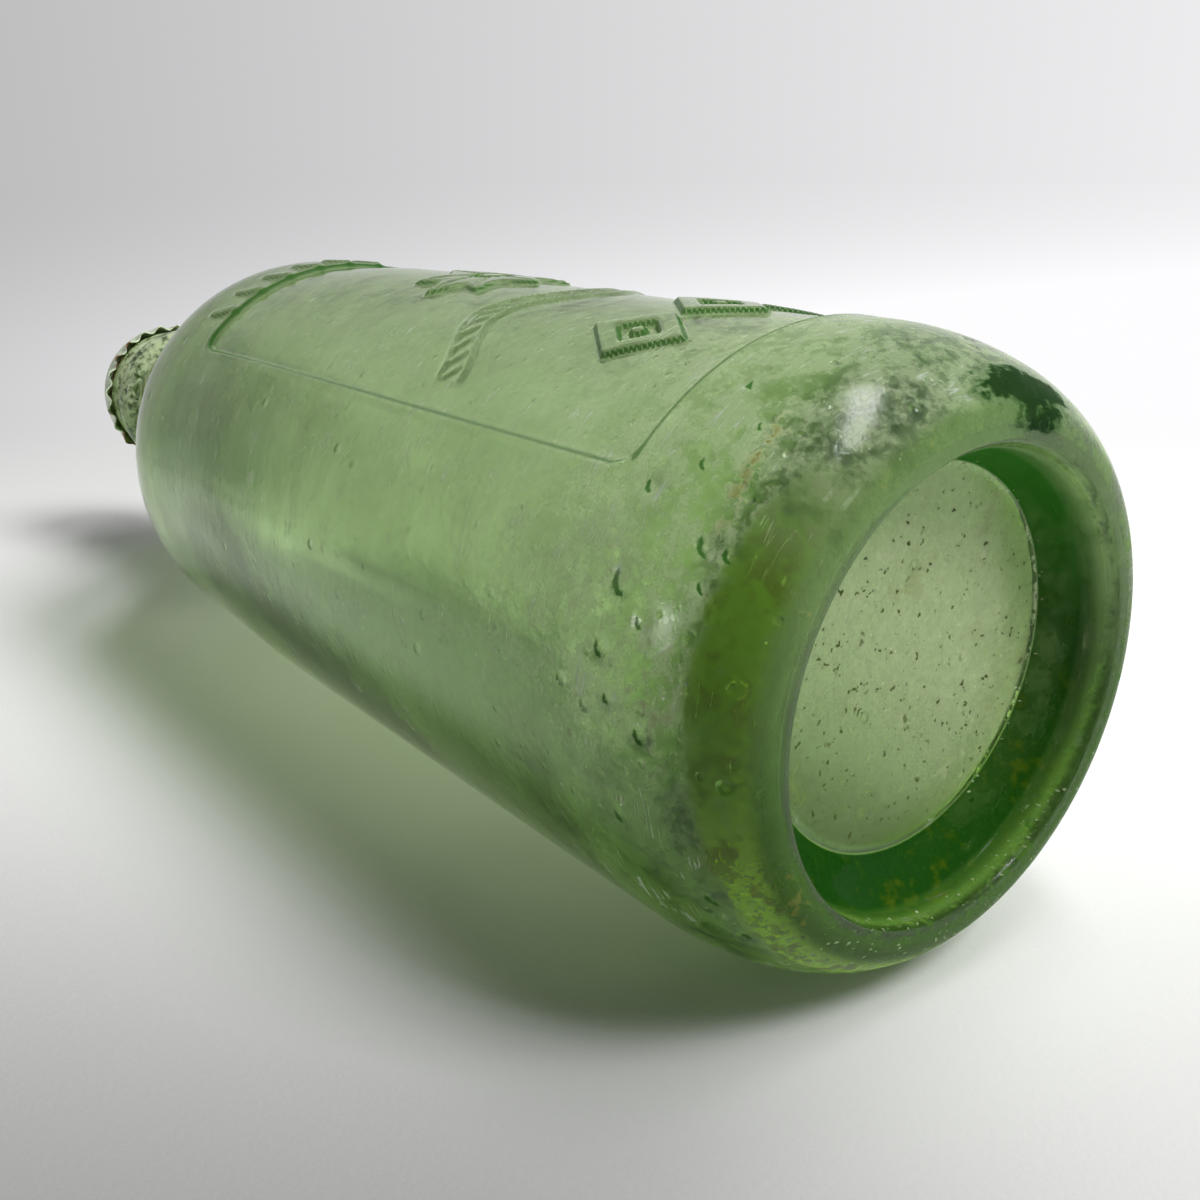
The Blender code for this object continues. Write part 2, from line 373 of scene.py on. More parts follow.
def leaves(across, along):
    o = ornament
    wide, tall = o["leafHalf"]
    up = along - o["leafHeight"]
    shapes = []
    for index in range(o["leafCount"]):
        away = across - (index - (o["leafCount"] - 1) / 2) * o["leafPitch"] + up * o["leafLean"]
        shapes.append(step(1.2, 0.7, np.hypot(away / wide, up / tall)) * o["leafRelief"])
    return shapes


def ornamentRelief(across, along):
    shapes = [shape for motif in (lozenges, swag, flower, leaves) for shape in motif(across, along)]
    return np.maximum.reduce(shapes) * ornament["relief"]


def outerRelief(angles, heights):  # how far the skin stands out or in
    across = angles * bodyRadius
    distance, wide, tall = panelDistance(across, heights)
    edge = np.where(tall > wide, panel["endEdge"], panel["sideEdge"])
    sunk = step(edge / 2, -edge / 2, distance)
    bead = np.exp(-((distance - edge * 0.4) / panel["beadWidth"]) ** 2) * panel["bead"]
    plain = step(1.0 * mm, -1.0 * mm, distance) * (heights < panel["end"] + 10 * mm)
    leaves = step(panel["end"], panel["end"] + 1 * mm, heights)
    drawn = ornamentRelief(across, heights) * np.maximum(plain, leaves)
    seams = [(angles - math.radians(turn)) * bodyRadius for turn in panel["seamTurns"]]
    seam = sum(np.exp(-(away / panel["seamHalf"]) ** 2) for away in seams) * panel["seamRelief"]
    return drawn + bead * (sunk < 1) - panel["depth"] * sunk + seam * (heights > panel["seamStart"])


columns = {
    "round": np.concatenate([np.arange(-180, -90, 1.5), np.arange(-90, -42, 0.8), np.arange(-42, 180, 1.5)]),
    "panel": np.concatenate([np.arange(-180, -130, 2.5), np.arange(-130, -54, 1.6), np.arange(-54, 54, 0.66),
                             np.arange(54, 100, 2.0), np.arange(100, 179, 3.0)]),
    "neck": np.linspace(-180, 180, 112, endpoint=False),
    "inside": np.linspace(-180, 180, 88, endpoint=False),
}


def glassRings():
    heelTop = glass["heelHeight"] / mm
    body = spaced((heelTop + 0.8, 19.6, 0.7), (19.6, 22.4, 0.3), (22.4, 28.4, 0.8), (28.4, 45.0, 0.42),
                  (45, 54, 0.9), (54, 68, 0.42), (68, 70.5, 0.8), (70.5, 93, 0.45), (93, 122.5, 1.4),
                  (122.5, 125.5, 0.4), (125.5, 133, 0.6))
    shoulder = shoulderRows(0, 22)
    return (("round", baseRows(), 0), ("panel", bodyRows(0, body), 0), ("neck", shoulder, 0),
            ("neck", finishRows(), 0), ("inside", insideRows(), 1))


wear = {  # where the glass changes: degrees count round from the top
    "baseHeight": 12 * mm, "heelHeight": 20 * mm, "ringHeight": 30 * mm,
    "wornHeights": (0.3 * mm, 1.8 * mm), "recessRadii": (23.9 * mm, 23.2 * mm),
    "edgeRadii": (19.6 * mm, 20.6 * mm), "edgeMiddle": 70, "edgeTurns": (95, 55),
    "bandHeight": 3.2 * mm, "bandRise": (2.7 * mm, -68, 38), "bandDip": (-1.6 * mm, -5, 28),
    "bandSoft": (1.4 * mm, -0.9 * mm), "bandTurns": ((-18, -62), (60, 110)),
    # thickMiddle and thickReach: where the heel's thick glass gets painted shade
    "thickMiddle": (13, 1.9 * mm), "thickReach": (17, 2.3 * mm),
    "hollowHeel": (36 * mm, 20 * mm), "hollowWall": (15 * mm, 19 * mm), "neckHeights": (160 * mm, 175 * mm),
    "solidHeights": ((22 * mm, 12 * mm), (150 * mm, 165 * mm)), "scuffHeights": (48 * mm, 8 * mm),
    "stainHeight": 8.2 * mm, "stainTurn": -43, "stainSlope": 0.05 * mm, "stainHalf": 0.8 * mm,
    "stainTurns": ((-60, -50), (-26, -36)),
    "lowMiddle": -8, "lowTurns": (115, 150), "lowHeights": (3.2 * mm, 0.6 * mm),
}


def hill(value, middle, reach):
    return np.exp(-((value - middle) / reach) ** 2)


def glassMarks(radius, height, angles, inside):  # what the material reads, point by point
    g, w = glass, wear
    flat = np.ones_like(angles)
    degrees = np.degrees(angles)
    outside = not inside
    onRing = outside and height < w["ringHeight"] and radius > g["rimRadius"] - 0.2 * mm
    onBase = outside and height < w["baseHeight"] and radius < g["bearingOut"]
    onHeel = outside and height < w["heelHeight"] and radius > g["bearingOut"] - 0.2 * mm
    onRim = onBase and w["edgeRadii"][0] < radius < w["edgeRadii"][1]
    lowest = step(*np.radians(w["lowTurns"]), np.abs(angles - math.radians(w["lowMiddle"])))
    edgeTurn = np.abs(angles - math.radians(w["edgeMiddle"]))
    bandTop = w["bandHeight"]
    for swell, middle, reach in (w["bandRise"], w["bandDip"]):
        bandTop += swell * hill(degrees, middle, reach)
    bandWay = [step(*turns, degrees) for turns in w["bandTurns"]]
    solid = [step(*heights, height) for heights in w["solidHeights"]]
    stainMiddle = w["stainHeight"] + (degrees - w["stainTurn"]) * w["stainSlope"]
    stain = hill(height, stainMiddle, w["stainHalf"])
    for turns in w["stainTurns"]:
        stain *= step(*turns, degrees)
    thick = hill(degrees, w["thickMiddle"][0], w["thickReach"][0])
    thick *= hill(height, w["thickMiddle"][1], w["thickReach"][1])

    def tall(name):  # 0 to 1 between two heights
        return flat * float(step(*w[name], height))

    return {
        "inside": flat * inside,
        "wall": tall("hollowWall") * inside,  # inside: 1 on the wall, 0 on the thick floor
        "heel": tall("hollowHeel") * inside,  # inside: 1 near the inner heel
        "worn": (1 - tall("wornHeights")) * onRing,
        "disc": flat * (outside and radius < g["recessRadius"] and height < w["baseHeight"]),
        # recess: the sunk base's wall, which gets painted shade
        "recess": flat * onBase * float(step(*w["recessRadii"], radius)) * (radius > g["recessRadius"]),
        "edge": flat * onRim * step(*np.radians(w["edgeTurns"]), edgeTurn),  # where lime has settled
        "low": lowest * tall("lowHeights") * onRing,  # the part of the ring that lay in the ground
        "band": step(bandTop + w["bandSoft"][0], bandTop + w["bandSoft"][1], height) * onHeel,  # solid heel
        "bandWay": np.maximum(*bandWay),  # fades the band away round the top of the heel
        "thick": thick * onHeel,  # 1 where the heel is thickest, which gets painted shade
        "scuff": tall("scuffHeights") * outside * (radius > g["bearingOut"]),  # fades up the body
        "neck": tall("neckHeights") * outside,
        "solid": flat * outside * float(max(solid)),  # casts the darker shade
        "stain": stain * onHeel,  # brown streaks across the heel
    }


craters = (  # (height, degrees round, radius, depth) of worn pits
    (14.7, -66, 1.50, 0.42), (7.9, -57, 1.15, 0.30), (5.7, -57, 0.85, 0.20), (16.4, -51, 0.90, 0.32),
    (15.4, -77, 0.95, 0.28), (6.8, -63, 0.75, 0.16), (12.2, -45, 0.80, 0.20), (9.6, -88, 1.00, 0.24),
    (12.8, -104, 0.80, 0.20), (11.4, -71, 0.80, 0.18), (9.8, -36, 0.70, 0.18), (14.2, -29, 0.80, 0.20),
    (5.2, -118, 1.00, 0.22), (13.6, -84, 0.70, 0.16), (8.8, 12, 0.80, 0.18), (10.6, 48, 0.90, 0.20),
    (7.2, 95, 1.00, 0.22), (13.4, 150, 1.05, 0.24), (11.0, -150, 0.90, 0.22),
)


def craterField(angles, height):  # pits: depth, way off in radii, and which side gets painted shade
    depth, away, side = np.zeros_like(angles), np.full_like(angles, 3.0), np.zeros_like(angles)
    for up, degrees, radius, deep in craters:
        across = (angles - math.radians(degrees)) * 31 / radius
        rise = (height / mm - up) / radius
        far = np.hypot(across, rise)
        depth = np.maximum(depth, np.exp(-far ** 4) * deep * mm)
        side = np.where(far < away, rise * 0.8 - across * 0.6, side)
        away = np.minimum(away, far)
    return depth, away, side


def unmarked(angles):  # steep: slope of the panel's and the ornament's edges, which get painted shade
    plain = np.zeros_like(angles)
    return {"pitAway": np.full_like(angles, 3.0), "pitSide": plain, "steep": plain}


def outerPush(zone, place, height, angles, onHeel):  # how far the skin moves, with its own marks
    found = unmarked(angles)
    onBody = step(6 * mm, 17 * mm, height)
    onBody *= step(bottleHeight - 20 * mm, bottleHeight - 40 * mm, height)
    push = ripple(place, 34 * mm, 3) * 0.035 * mm * onBody
    push += ripple(place, 5 * mm, 4) * 0.010 * mm * step(1 * mm, 4 * mm, height)
    if onHeel:
        dent, found["pitAway"], found["pitSide"] = craterField(angles, height)
        push -= dent
    if glass["heelHeight"] < height < glass["shoulderHeight"]:
        push += outerRelief(angles, np.full_like(angles, height))
    if zone == "panel":  # slopes, from the relief close by on four sides
        change = [outerRelief(angles + turn, np.full_like(angles, height + rise))
                  for turn, rise in ((0.009, 0), (-0.009, 0), (0, 0.3 * mm), (0, -0.3 * mm))]
        slope = np.hypot(change[0] - change[1], change[2] - change[3]) / (0.6 * mm)
        # painted shade: a dark line along the panel's end
        endLine = hill(height, panel["start"] - 0.2 * mm, 0.55 * mm)
        inPanel = step(panel["halfAngle"] + 0.02, panel["halfAngle"] - 0.05, np.abs(angles))
        found["steep"] = np.maximum(slope, endLine * inPanel * 1.3)
    return push, found


def insidePush(place, height, angles):
    depth = step(bottleHeight - 2 * mm, bottleHeight - 30 * mm, height)
    push = (ripple(place, 38 * mm, 5) * 0.32 + ripple(place, 9 * mm, 6) * 0.05) * mm * depth
    return push, unmarked(angles)


def ringPoints(radius, height, angles):
    return np.stack([radius * np.sin(angles), np.full_like(angles, height), radius * np.cos(angles)], 1)


def joinRings(rings, way):  # rings of (first point, angles)
    faces = []
    for (start, angles), (after, nextAngles) in zip(rings, rings[1:]):
        first = np.arange(start, start + len(angles))
        second = np.arange(after, after + len(nextAngles))
        if len(first) == len(second) and np.allclose(angles, nextAngles):
            others = [np.roll(first, -1), np.roll(second, -1), second][::way]
            faces += np.stack([first, *others], 1).tolist()
        else:
            faces += stitch(first.tolist(), second.tolist(), angles, nextAngles)
    return faces


def closedMesh(name, points, rings, marks, material, way=1):  # rings of points, and a pole at each end
    faces = joinRings(rings, way)
    for row, order in ((0, 1), (len(rings) - 1, -1)):
        start, angles = rings[row]
        pole = sum(len(part) for part in points)
        points.append(points[row].mean(0)[None])
        for mark in marks:
            marks[mark].append(marks[mark][row][:1])
        for index in range(len(angles)):
            one, two = start + index, start + (index + 1) % len(angles)
            faces.append((pole, *(two, one)[::way])[::order])
    marks = {mark: np.concatenate(values) for mark, values in marks.items()}
    return meshObject(name, np.concatenate(points), faces, material, marks)


def glassMesh(material):
    g = glass
    points, marks, rings = [], {}, []
    total = 0
    for zone, rows, inside in glassRings():
        slopes = np.gradient(rows, axis=0)
        slopes /= np.linalg.norm(slopes, axis=1, keepdims=True)
        angles = np.radians(columns[zone])
        for (radius, height), (across, along) in zip(rows, slopes):
            place = ringPoints(radius, height, angles)
            onHeel = not inside and 2 * mm < height < 20 * mm and radius > g["bearingOut"]
            if inside:
                push, found = insidePush(place, height, angles)
            else:
                push, found = outerPush(zone, place, height, angles, onHeel)
                push = np.minimum(push, bodyRadius - radius)
            place[:, 0] += np.sin(angles) * push * along
            place[:, 1] -= push * across
            place[:, 2] += np.cos(angles) * push * along
            if not inside and height < wear["baseHeight"] and radius < g["bearingIn"]:
                nearRim = step(g["recessRadius"], g["rimRadius"], radius)
                fade = step(g["bearingIn"], g["rimRadius"], radius)
                for side, axis in ((0, 0), (1, 2)):
                    shift = g["recessShift"][side] * (1 - nearRim) + g["rimShift"][side] * nearRim
                    place[:, axis] += shift * fade
            place += (0, standY, axisHeight)
            rings.append((total, angles))
            points.append(place)
            for mark, values in {**glassMarks(radius, height, angles, inside), **found}.items():
                marks.setdefault(mark, []).append(values)
            total += len(angles)
    return closedMesh("bottleGlass", points, rings, marks, material)


tint = {  # colours, and how much haze each part has
    "absorb": (0.42, 0.64, 0.09), "density": 126.0, "ior": 1.5,
    # the second clear colour is painted shade, for low down
    "clear": (0.95, 0.98, 0.93), "clearPaintedShade": (0.88, 0.93, 0.82),
    "shade": (0.72, 0.695, 0.745), "solidShade": (0.28, 0.30, 0.27), "glow": (0.82, 0.90, 0.66),
    # the second milk colour is painted shade, for the lower inner wall
    "milk": (0.84, 0.88, 0.72), "milkPaintedShade": (0.15, 0.40, 0.07), "dustAndGlints": (0.85, 0.90, 0.80),
    # the second veil colour is painted shade, for low on the heel
    "veil": (0.80, 0.94, 0.58), "veilPaintedShade": (0.42, 0.78, 0.14), "mud": (0.22, 0.23, 0.06),
    # the second disc colour is painted shade, for the disc's lower left
    "disc": (0.54, 0.62, 0.36), "discPaintedShade": (0.15, 0.23, 0.06), "discSpeck": (0.06, 0.08, 0.02),
    # these colours are painted shade on the sunk base's wall, darker low down
    "deep": (0.020, 0.180, 0.006), "deepLow": (0.005, 0.050, 0.001), "deepGold": (0.045, 0.085, 0.001),
    # painted shade: dark green for the thick heel, and for slopes and pit sides
    "thickGlassShade": (0.003, 0.026, 0.001), "paintedEdgeShade": (0.02, 0.12, 0.01),
    # the second band colour is painted light, for low down
    "band": (0.24, 0.50, 0.04), "bandPaintedLight": (0.46, 0.86, 0.07), "olive": (0.17, 0.26, 0.03),
    # the second ring colour is painted shade, for low down
    "ring": (0.20, 0.31, 0.11), "ringPaintedShade": (0.06, 0.14, 0.02),
    "innerShare": 0.40, "heelShare": 0.30, "discShare": 0.46, "ringShare": 0.30, "outerShare": 0.012,
    "recessShare": 0.96, "floorShare": 0.30, "veilShare": 0.56, "topShare": 0.085, "bandShare": 0.32,
    "neckShare": 0.62,
}

clouds = {  # noise: scale, detail, roughness
    "patches": (75, 5, 0.6), "mottle": (230, 5, 0.65), "fine": (900, 4, 0.6), "streaks": (160, 4, 0.6),
    "wrinkles": (420, 3, 0.55), "flecks": (1250, 2, 0.5), "largeFlecks": (520, 3, 0.5), "hair": (330, 2, 0.5),
    "grain": (2600, 3, 0.6),
}

pits = {"bigScale": 210, "big": (0.22, 0.07, 0.19), "bigShift": (0.22, 0.07, 0.17),
        "smallScale": 560, "small": (0.16, 0.12, 0.30), "shift": (-0.16 * mm, 0.20 * mm, -0.10 * mm),
        "dustScale": 1300, "dustAndGlints": (0.06, 0.10, 0.24)}

bruises = (  # (place on the heel, half width) of ring-shaped bruises
    ((-26.4 * mm, 2.2 * mm, -12.0 * mm), 1.5 * mm), ((-28.3 * mm, 2.1 * mm, 6.9 * mm), 1.1 * mm),
)


def spot(place, centre, inner, outer):  # 1 within inner of this centre, 0 past outer
    centre = (centre[0], centre[1] + standY, centre[2] + axisHeight)
    return place.vector("DISTANCE", {1: centre}, "Value").rise(outer, inner)


def pitMask(place, scale, share, small, large):  # round pits of unlike sizes in some of the cells
    red = place.node("ShaderNodeSeparateColor", {0: place.cells(scale, "Color")})
    return (1 - place.cells(scale).rise(small, large)) * red.rise(1 - share, 1.01 - share)


def glassPits(place, patches, mottle):  # small pits, and the painted shade on one side of each
    shifted = place.vector("ADD", {1: pits["shift"]})
    bigPits = pitMask(place, pits["bigScale"], *pits["big"])
    smallPits = pitMask(place, pits["smallScale"], *pits["small"])
    bigCrescents = bigPits * (1 - pitMask(shifted, pits["bigScale"], *pits["bigShift"]))
    smallCrescents = smallPits * (1 - pitMask(shifted, pits["smallScale"], *pits["small"]))
    crescents = bigCrescents * patches.rise(0.38, 0.50) + smallCrescents * mottle.rise(0.50, 0.60)
    return bigPits, smallPits, crescents


def hue(mask, *ends):  # two names of colours above, or mixed colours
    return mask.between(*[(*tint[end], 1) if isinstance(end, str) else end for end in ends])


def glassMaterial():
    place = newMaterial("hazyGreenGlass")
    inside, ring, disc, heel, wall, scuff, low, band, bandWay = [attribute(place, name) for name in (
        "inside", "worn", "disc", "heel", "wall", "scuff", "low", "band", "bandWay")]
    thick, edge, recess, steep, neck, stain, pitAway, pitSide = [attribute(place, name) for name in (
        "thick", "edge", "recess", "steep", "neck", "stain", "pitAway", "pitSide")]
    outside = 1 - inside
    patches, mottle, fine = [place.cloud(*clouds[name]) for name in ("patches", "mottle", "fine")]
    streaks = place.stretched((1, 6, 1)).cloud(*clouds["streaks"])
    wrinkles = place.stretched((1, 0.45, 1), (0.3, 0.2, 0.5)).cloud(*clouds["wrinkles"])
    speckle, grit = mottle * 0.6 + fine * 0.4, mottle * 0.5 + fine * 0.5

    bigPits, smallPits, crescents = glassPits(place, patches, mottle)
    # pale specks: real dust, and painted glints
    dustAndGlints = pitMask(place, pits["dustScale"], *pits["dustAndGlints"]) * patches.rise(0.44, 0.56)
    flecks = place.cloud(*clouds["flecks"]).rise(0.655, 0.70)
    flecks = flecks.most(place.cloud(*clouds["largeFlecks"]).rise(0.685, 0.71) * 0.8)
    hair = place.stretched((0.25, 3.2, 0.25), (0.5, 0.2, 0.9)).cloud(*clouds["hair"])
    scratch = (1 - place.maths("ABSOLUTE", hair - 0.5).rise(0.008, 0.03)) * mottle.rise(0.54, 0.64)

    height = fine * (0.012 + ring * 0.05 + disc * 0.05 + scuff * 0.03)  # in mm
    height += wrinkles * (ring * 0.04 + inside * 0.03)
    height += mottle * (inside * 0.05 + heel * 0.14 + disc * 0.06 + scuff * 0.03)
    dents = bigPits * (0.08 + scuff * 0.14) + smallPits * (0.03 + scuff * 0.04) + scratch * 0.02
    height = height - outside * dents
    bump = bumped(height)
    rough = 0.05 + outside * patches.rise(0.4, 0.7) * 0.05 + scuff * 0.06 + ring * 0.12 + disc * 0.12
    rough += inside * (0.20 - wall * 0.12)
    rising = place.node("ShaderNodeSeparateXYZ", {0: place}, 2)
    # upper: 1 on the upper side; colours and haze amounts set by it are painted light above and painted shade
    # low down
    upper = rising.rise(axisHeight - 12 * mm, axisHeight + 24 * mm)
    # painted shade: the clear glass is tinted darker and greener low down
    clearColour = upper.between((*tint["clearPaintedShade"], 1), (*tint["clear"], 1))
    clear = principled(bump, clearColour, rough, {"IOR": tint["ior"], "Transmission Weight": 1.0})

    top = rising.rise(axisHeight + 6 * mm, axisHeight + 34 * mm)  # where each look shows, 0 to 1
    across = place.along((0.60, 0, 0.80))  # up and to the right across the disc
    # lit: the disc is painted lighter to the upper right and in painted shade to the lower left
    lit = across.rise(axisHeight * 0.8 - 20 * mm, axisHeight * 0.8 + 6 * mm)
    solid = (band + (speckle - 0.5) * 2.6).rise(0.12, 0.88) * bandWay
    # under: 1 low down, where the veil gets painted shade and the band painted light
    under = rising.rise(axisHeight + 4 * mm, axisHeight - 14 * mm)
    # painted shade: a dark patch where the heel's glass is thickest
    thickShade = (thick + (fine * 0.4 + streaks * 0.6 - 0.5) * 1.6).rise(0.34, 0.66)
    # painted shade on the slopes of the panel and the ornament
    edgeShade = steep.rise(0.25, 0.90) * outside
    pitEdge = pitAway + (fine - 0.5) * 0.6
    # painted shade on one side of each crater
    bowl = pitEdge.rise(1.05, 0.85) * pitEdge.rise(0.40, 0.62) * pitSide.rise(0.05, 0.40)
    pitShade = crescents.least(1).most(bowl)
    mud = inside * (heel * mottle.rise(0.60, 0.70) * 0.5 + patches.rise(0.62, 0.74) * 0.2)
    mud += stain * (wrinkles * 0.5 + fine * 0.5).rise(0.49, 0.54)
    mud += scuff * (patches * 0.5 + fine * 0.5).rise(0.59, 0.66) * 0.6

    # painted shade: the haze is darker low down, on the inner wall and on the heel's veil
    milkColour = hue(inside, hue(under, "veil", "veilPaintedShade"), hue(upper, "milkPaintedShade", "milk"))
    # painted light: the band is lighter low down, and has more haze there
    bandColour = hue(speckle.rise(0.46, 0.58), hue(under, "band", "bandPaintedLight"), "olive")
    # painted shade: the worn ring is darker low down
    ringRise = rising.rise(axisHeight - 8 * mm, axisHeight + 20 * mm)
    discMud = (patches * 0.7 + fine * 0.3).rise(0.56, 0.66) * 0.5
    # painted shade: the sunk base's wall is dark green, darker low down
    deep = hue(upper, hue(speckle.rise(0.50, 0.66), "deepLow", "deepGold"), "deep")
    layers = (  # laid over the pale haze in this order
        ((dustAndGlints + scratch).least(1) * outside, "dustAndGlints"), (disc, hue(lit, "discPaintedShade", "disc")),
        (solid, bandColour), (ring, hue(ringRise, "ringPaintedShade", "ring")), (mud.least(1), "mud"),
        (disc * discMud, "mud"), (disc * flecks, "discSpeck"), (edgeShade.most(pitShade), "paintedEdgeShade"),
        (recess.most(thickShade), deep), (thickShade, "thickGlassShade"),
    )
    for mask, colour in layers:
        milkColour = hue(mask, milkColour, colour)
    milk = principled(bump, milkColour, 0.85, {"Specular IOR Level": 0.14})
    dark = solid.most(mud).most(pitShade).most(edgeShade).most(recess).most(thickShade)
    dark = dark.most(disc * flecks).most(ring * 0.6)
    glow = place.node("ShaderNodeBsdfTranslucent", {"Color": (*tint["glow"], 1)})
    glowing = (1 - dark.least(1)) * (heel * 0.3 + 0.3 + scuff * 0.15 - disc * 0.15) * (0.25 + upper * 0.75)
    milk = glowing.shaders(milk, glow)

    cover = patches * 0.72 + streaks * 0.06 + mottle * 0.22  # from here on: how much haze
    haze = tint["outerShare"] + wall * (tint["innerShare"] * cover.rise(0.30, 0.68) * (0.50 + upper * 0.50))
    # the veil's amount by height paints light and shade on the heel: less low down and near the top
    heelSide = rising.rise(axisHeight - 12 * mm, axisHeight + 12 * mm) * 0.55 + 0.45
    veil = scuff * tint["veilShare"] * heelSide * (1 - top * 0.45)
    veil += outside * upper * tint["topShare"]
    veil += neck * tint["neckShare"]
    haze += veil * (1 - solid) * (1 - ring * 0.2) * speckle.rise(0.40, 0.57)
    haze += solid * tint["bandShare"] * (0.35 + mottle * 1.3) * (1 + under * 0.4)
    haze += wall * heel * tint["heelShare"] * (mottle * 0.7 + fine * 0.3).rise(0.38, 0.54)
    haze += (inside - wall) * tint["floorShare"]
    haze += ring * tint["ringShare"] * (0.7 + fine * 0.6)
    grainy = place.cloud(*clouds["grain"]).rise(0.38, 0.62) * 0.10
    grainy += grit.rise(0.40, 0.60) * 0.20
    haze += disc * (tint["discShare"] * (0.85 + grainy) + flecks * 0.5 + discMud * 0.3)
    haze += outside * (dustAndGlints * 0.7 + scratch * 0.30 + mud * 0.7)
    haze = haze.most(edgeShade * 0.60).most(pitShade * 0.80)
    haze = haze.most(recess.most(thickShade) * tint["recessShare"] * (0.92 + mottle.rise(0.35, 0.6) * 0.08))
    limed = low.most(edge * 1.3) * grit.rise(0.48, 0.56)
    for centre, size in bruises:
        bruise = spot(place, centre, size * 0.75, size) - spot(place, centre, size * 0.35, size * 0.6) * 0.8
        limed = limed.most(bruise * fine.rise(0.35, 0.55) * 0.8)
    haze = haze.most(limed * outside * 0.8).least(0.97)
    thin, full = [place.node("ShaderNodeBsdfTransparent", {"Color": (*tint[name], 1)})
                  for name in ("shade", "solidShade")]
    shade = attribute(place, "solid").shaders(thin, full)
    shadowRay = place.node("ShaderNodeLightPath", output="Is Shadow Ray")
    surface = shadowRay.shaders(haze.shaders(clear, milk), shade)
    inGlass = {"Color": (*tint["absorb"], 1), "Density": tint["density"]}
    volume = place.node("ShaderNodeVolumeAbsorption", inGlass)
    return finishMaterial("hazyGreenGlass", Surface=surface, Volume=volume)


bottleGlass = glassMesh(glassMaterial())
triangles = sum(len(face.vertices) - 2 for face in bottleGlass.data.polygons)
print("glass:", len(bottleGlass.data.vertices), "points,", triangles, "triangles")
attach(bottleGlass, "bottle")
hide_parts("glass_bottle")


# Geometry Nodes helpers

def newTree(name, sizes):  # a tree with named inputs: label -> (kind, value)
    tree = bpy.data.node_groups.new(name, "GeometryNodeTree")
    tree.interface.new_socket("Geometry", in_out="INPUT", socket_type="NodeSocketGeometry")
    for label, (kind, value) in sizes.items():
        socket = tree.interface.new_socket(label, in_out="INPUT", socket_type="NodeSocket" + kind)
        socket.default_value = value
    tree.interface.new_socket("Geometry", in_out="OUTPUT", socket_type="NodeSocketGeometry")
    entry = tree.nodes.new("NodeGroupInput")
    return Wire(tree), {socket.name: Wire(tree, socket) for socket in entry.outputs if socket.name}


def endTree(base, shape, material):  # every tree ends the same way
    shape = base.node("GeometryNodeRealizeInstances", {"Geometry": shape})
    shape = base.node("GeometryNodeSetMaterial", {"Geometry": shape, "Material": material})
    end = base.tree.nodes.new("NodeGroupOutput")
    base.tree.links.new(shape.socket, end.inputs["Geometry"])
    return base.tree


def applyTree(thing, tree, sizes):  # runs the tree once, and keeps its mesh
    modifier = thing.modifiers.new(tree.name, "NODES")
    modifier.node_group = tree
    for socket in tree.interface.items_tree:
        if socket.in_out == "INPUT" and socket.name in sizes:
            modifier[socket.identifier] = sizes[socket.name][1]
    graph = bpy.context.evaluated_depsgraph_get()
    mesh = bpy.data.meshes.new_from_object(thing.evaluated_get(graph))
    thing.modifiers.remove(modifier)
    thing.data = mesh
    return thing


# Lime crust: small flakes that a tree scatters where the ring lay in the ground and round the sunk base

crust = {
    "inputs": {"Density": ("Float", 5e5), "Seed": ("Int", 11), "Chip": ("Float", 0.10 * mm)},
    "marks": ("low", "edge"), "least": 0.25, "chipScale": 3000.0,
    "tone": (500, 4, 0.6), "grain": (4000, 3, 0.6), "grainHeight": 0.04,
    "small": (0.05 * mm, 0.04 * mm, 0.01 * mm), "large": (0.30 * mm, 0.20 * mm, 0.02 * mm),
    "pale": (0.30, 0.38, 0.21, 1), "dark": (0.18, 0.24, 0.10, 1), "lift": 0.005 * mm,
}


def crustGround(material):  # copies the glass faces that carry crust
    mesh = bottleGlass.data
    worth = np.zeros(len(mesh.vertices))
    for mark in crust["marks"]:
        values = np.zeros(len(mesh.vertices))
        mesh.attributes[mark].data.foreach_get("value", values)
        worth = np.maximum(worth, values)
    faces = [tuple(face.vertices) for face in mesh.polygons]
    faces = [face for face in faces if min(worth[corner] for corner in face) > crust["least"]]
    used = sorted({corner for face in faces for corner in face})
    order = {corner: place for place, corner in enumerate(used)}
    points = [mesh.vertices[corner].co.copy() for corner in used]
    faces = [tuple(order[corner] for corner in face) for face in faces]
    return meshObject("crustFlakes", points, faces, material)


def flakeTree(material):
    base, entry = newTree("scatteredCrust", crust["inputs"])
    spots = base.node("GeometryNodeDistributePointsOnFaces", {
        "Mesh": entry["Geometry"], "Density": entry["Density"], "Seed": entry["Seed"]})
    turn = Wire(base.tree, spots.socket.node.outputs["Rotation"])
    flake = base.node("GeometryNodeMeshIcoSphere", {"Radius": 1.0, "Subdivisions": 2})
    sizes = {0: crust["small"], 1: crust["large"], "Seed": entry["Seed"]}
    size = base.node("FunctionNodeRandomValue", sizes, data_type="FLOAT_VECTOR")
    shape = base.node("GeometryNodeInstanceOnPoints", {
        "Points": spots, "Instance": flake, "Rotation": turn, "Scale": size})
    shape = base.node("GeometryNodeRealizeInstances", {"Geometry": shape})
    place = base.node("GeometryNodeInputPosition")
    noise = base.node("ShaderNodeTexNoise", {"Vector": place, "Scale": crust["chipScale"]}, 1)
    push = noise.vector("SUBTRACT", {1: (0.5, 0.5, 0.5)}).vector("SCALE", {"Scale": entry["Chip"]})
    shape = base.node("GeometryNodeSetPosition", {"Geometry": shape, "Offset": push})
    return endTree(base, shape, material)


